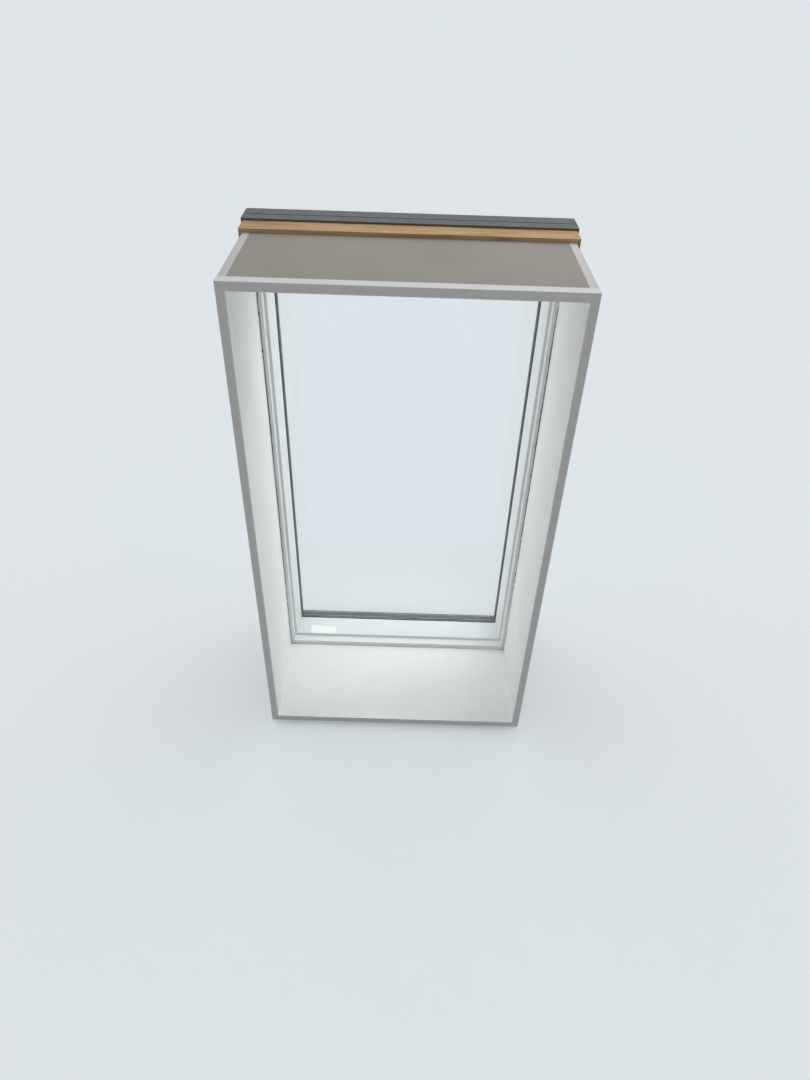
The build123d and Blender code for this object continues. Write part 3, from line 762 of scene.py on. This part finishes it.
def make_sealant_bead(material):
    """Sealant bead in the angle between the boards and the frame, cracked where the wood has moved.
    Its section runs from the board to the frame on a hollow curve, a parabola through the two ends of legs
    of uneven length, with the crack pressed in. The section is carried round the opening, each point lying
    between its two corners, moved outwards by its reach. A lump of paint, a bell curve along the joint,
    widens the bead."""
    spacing, points_across = 0.002, 17
    leg, leg_drift, leg_roughness, lump_width = 0.0021, 0.0005, 0.0002, 0.0011
    groove_depth, ridge_height = 0.0011, 0.00025
    fullness = 0.45
    from_corner, to_corner, share, gone = ring_frame(spacing)
    turn = gone / gone[-1] * 2 * math.pi * (1 - 1 / gone.size)
    across = np.linspace(0.0, 1.0, points_across)
    lump = sum(bell(gone - place, length) for place, length in lumps)
    drift = leg_drift * wander(turn, seed=3, slowest=4, fastest=60)
    roughness = leg_roughness * wander(turn, seed=4, slowest=60, fastest=300)
    legs = (leg + drift + roughness + lump_width * lump)[:, None]
    hollow = 2 * across * (1 - across) * fullness
    reach = -legs * (across ** 2 + hollow)
    level = -legs * ((1 - across) ** 2 + hollow)
    crack = crack_in_bead(gone, turn, lump, across)
    ridge =ridge_height * wander(turn, seed=8, slowest=30, fastest=260)[:, None] * np.sin(across * math.pi)
    inwards = (crack * groove_depth + ridge) * math.sqrt(0.5)
    inner_angle = np.zeros_like(legs)
    reach = np.concatenate([np.minimum(reach + inwards, 0.0), inner_angle], axis=1)
    level = np.concatenate([np.minimum(level + inwards, 0.0), inner_angle], axis=1)
    crack = np.concatenate([crack, inner_angle], axis=1)
    half = np.array([half_width, half_length])
    start = from_corner[:, None, :] * (half + reach[..., None])
    end = to_corner[:, None, :] * (half + reach[..., None])
    outline = start + (end - start) * share[:, None, None]
    points = np.stack([outline[..., 0], deck_plane + level, middle_height + outline[..., 1]], axis=-1)
    faces = grid_faces(gone.size, points_across + 1, True, True)[:, ::-1]
    # The crack's depth is kept as the mask that paints the crack near black, as painted shade.
    piece = make_piece("sealant_bead", points, faces, material, crack)
    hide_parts("caulk_bead")


def make_corner_fillers(material):
    """Filler in the four inner corners of the boards: a quarter circle hollowed towards the corner, with
    an uneven radius that grows from the edge trim, run to the frame and closed along the corner and its
    ends."""
    sections, points_round = 60, 9
    filler_radius, radius_drift = 0.0026, 0.0006
    first_share, growth = 0.25, 12
    turn, first_seed = 5, 20
    along = np.linspace(0.0, 1.0, sections)
    angle = np.linspace(0.0, math.pi / 2, points_round)
    ends = np.arange(angle.size + 1)
    depth = room_plane + along * (deck_plane - room_plane)
    points, faces = [], []
    for number, (x_side, z_side) in enumerate(corner_signs):
        drift = wander(along * turn, first_seed + number, slowest=1, fastest=14)
        uneven = filler_radius + radius_drift * drift
        radius = (uneven * np.clip(along * growth + first_share, 0, 1))[:, None]
        across = np.concatenate(
            [half_width - radius * (1 - np.cos(angle)), np.full_like(radius, half_width)], axis=1)
        up = np.concatenate(
            [half_length - radius * (1 - np.sin(angle)), np.full_like(radius, half_length)], axis=1)
        y = np.broadcast_to(depth[:, None], across.shape)
        points.append(np.stack([x_side * across, y, middle_height + z_side * up], axis=-1).reshape(-1, 3))
        first = number * across.size
        sheet = grid_faces(along.size, ends.size, False, True)
        outwards = 1 if x_side * z_side > 0 else -1
        faces += [face[::outwards] for face in (sheet + first).tolist()]
        faces.append((ends + first).tolist()[::-outwards])
        faces.append((ends + first + across.size - ends.size).tolist()[::outwards])
    make_piece("corner_filler", np.concatenate(points), faces, material)


# Blisters of air under the label: place from its middle, half lengths along x and up the face, and height
blisters = [((0.012, -0.003), (0.006, 0.004), 0.00018), ((-0.017, 0.006), (0.004, 0.005), 0.00014)]


def round_corners(x, y, half_x, half_y, radius):
    """Points of a rectangle about its middle. Those past the rounding of a corner are drawn in onto it,
    towards its centre."""
    straight_x, straight_y = half_x - radius, half_y - radius
    past_x = np.clip(np.abs(x) - straight_x, 0, None)
    past_y = np.clip(np.abs(y) - straight_y, 0, None)
    away = np.hypot(past_x, past_y)
    drawn_in = np.where(away > radius, radius / np.maximum(away, 1e-9), 1.0)
    x = np.sign(x) * (np.minimum(np.abs(x), straight_x) + past_x * drawn_in)
    y = np.sign(y) * (np.minimum(np.abs(y), straight_y) + past_y * drawn_in)
    return x, y


def lay_on_face(up_face, off):
    """Places on the frame's leaning face, as distance inwards and height above the deck. Each is given by
    its distance up the face from the rounded edge and its distance off the face. Those below are bent over
    the edge, where the angle is the distance divided by the radius."""
    rise, run = face_top[1] - face_foot[1], face_top[0] - face_foot[0]
    lean = math.atan2(run, rise)
    start = face_edge_radius * math.tan((math.pi / 2 - lean) / 2)
    centre_in = face_foot[0] + start * math.sin(lean) - face_edge_radius * math.cos(lean)
    centre_up = face_foot[1] + start * math.cos(lean) + face_edge_radius * math.sin(lean)
    turn = np.clip(-up_face, 0, None) / face_edge_radius
    flat = np.clip(up_face, 0, None)
    inwards = centre_in + flat * math.sin(lean) + (face_edge_radius + off) * np.cos(lean + turn)
    upwards = centre_up + flat * math.cos(lean) - (face_edge_radius + off) * np.sin(lean + turn)
    return inwards, upwards


def make_bare_label(material):
    """Blank label on the sill: a thin sheet with rounded corners, laid on the leaning face and bent over
    the rounded edge at its foot. Its lower left corner has begun to lift, as the cube of the distance past
    a line near it, and two low blisters of air lie under it. The mask is the larger share of the way from
    its middle to its rim."""
    columns, rows = 65, 49
    corner_lift, lift_line, glue_gap = 0.0010, 1.25, 0.00002
    half_x, half_y = label_length / 2, label_width / 2
    a, b = np.meshgrid(np.linspace(-1, 1, columns), np.linspace(-1, 1, rows), indexing="ij")
    x, y = round_corners(a * half_x, b * half_y, half_x, half_y, label_corner_radius)
    lift = corner_lift * np.clip((-a - b - lift_line) / (2 - lift_line), 0, 1) ** 3
    blister = sum(
        height * np.exp(-(((x - place_x) / long) ** 2 + ((y - place_y) / wide) ** 2))
        for (place_x, place_y), (long, wide), height in blisters)
    inwards, upwards = lay_on_face(y + half_y - label_foot_bend, glue_gap + lift + blister)
    lowest = middle_height - half_length
    points = np.stack([label_middle_x + x, deck_plane + upwards, lowest + inwards], axis=-1)
    mask = np.maximum(np.abs(a), np.abs(b))
    faces = grid_faces(columns, rows, False, False)[:, ::-1]
    piece = make_piece("blank_label", points, faces, material, mask)
    sheet = piece.modifiers.new("thickness", "SOLIDIFY")
    sheet.thickness = label_thickness
    sheet.offset = 1.0


make_sealant_bead(sealant)
make_corner_fillers(painted_board)
make_bare_label(make_label_finish())


# Floor, world and lamps
def seen_mask(tree):
    """1 for what is seen directly, in gloss and through glass, and 0 for what only lights the object."""
    path = add(tree, "ShaderNodeLightPath").outputs
    seen = calc(tree, "MAXIMUM", path["Is Camera Ray"], path["Is Glossy Ray"])
    return calc(tree, "MAXIMUM", seen, path["Is Transmission Ray"])


def make_floor(lighting_tone, seen_tone, seen_glow):
    """Wide plain floor. Where it is seen it has a paler tone and a glow of its own."""
    half = 40.0
    mesh = bpy.data.meshes.new("floor")
    corners = [(-half, -half, 0), (half, -half, 0), (half, half, 0), (-half, half, 0)]
    mesh.from_pydata(corners, [], [(0, 1, 2, 3)])
    floor = bpy.data.objects.new("floor", mesh)
    bpy.context.scene.collection.objects.link(floor)
    material, tree, shader = new_material("floor", {
        "Roughness": 0.9, "Specular IOR Level": 0.0, "Emission Strength": 1.0})
    seen = seen_mask(tree)
    connect(tree, shader, {
        "Base Color": blend_colour(tree, seen, lighting_tone, seen_tone),
        "Emission Color": blend_colour(tree, seen, colour(0.0, 0.0, 0.0), seen_glow),
    })
    mesh.materials.append(material)
    return floor


def make_world(room_light, sky_light, background):
    """Soft light all round, stronger from the sky side (+Y) than from the room side (-Y), and a pale
    backdrop."""
    room_ends, sky_starts = -0.4, 0.5
    world = bpy.data.worlds.new("studio")
    world.use_nodes = True
    tree = world.node_tree
    towards_sky = split(tree, add(tree, "ShaderNodeTexCoord").outputs["Generated"])["Y"]
    light = blend_colour(tree, span(tree, towards_sky, room_ends, sky_starts), room_light, sky_light)
    shown = blend_colour(tree, seen_mask(tree), light, background)
    connect(tree, tree.nodes["Background"].inputs, {"Color": shown})
    bpy.context.scene.world = world


def make_panel_lamp(name, place, aim, width, height, power, spared_floor):
    """An unseen soft panel on the sky side (+Y) that shines through the glass and spares the floor. It is
    sampled as a lamp only, because a ray that finds it by chance has been through glass."""
    tint = (0.99, 0.985, 1.0)
    data = bpy.data.lights.new(name, "AREA")
    data.shape = "RECTANGLE"
    data.size = width
    data.size_y = height
    data.energy = power
    data.color = tint
    data.cycles.use_multiple_importance_sampling = False
    lamp = bpy.data.objects.new(name, data)
    lamp.visible_camera = False
    lamp.visible_glossy = False
    lamp.visible_transmission = False
    turn = (Vector(aim) - Vector(place)).to_track_quat("-Z", "Y").to_matrix().to_4x4()
    lamp.matrix_world = Matrix.Translation(place) @ turn
    bpy.context.scene.collection.objects.link(lamp)
    spared = bpy.data.collections.new("spared by " + name)
    spared.objects.link(spared_floor)
    spared.collection_objects[0].light_linking.link_state = "EXCLUDE"
    lamp.light_linking.receiver_collection = spared


floor = make_floor(colour(0.62, 0.62, 0.62), colour(0.95, 0.97, 0.98), colour(0.23, 0.265, 0.295))
make_world(colour(0.30, 0.30, 0.295), colour(0.79, 0.80, 0.81), colour(0.90, 0.93, 0.965))

room_middle = (0.0, room_plane, middle_height)
# Panel lamps: name, place, aim, width, height and power in watts
panels = [
    ("sky_at_glass", (0.0, cladding_plane, middle_height), room_middle, 0.48, 0.90, 1.48),
    ("sky_over_roof", (0.0, 0.50, middle_height), room_middle, 0.9, 1.3, 5.15),
    ("sky_above", (0.75, 0.75, 1.35), (0.0, -0.05, 0.22), 0.8, 0.8, 6.4),
]
for panel in panels:
    make_panel_lamp(*panel, floor)
bpy.context.scene.view_settings.view_transform = "Standard"
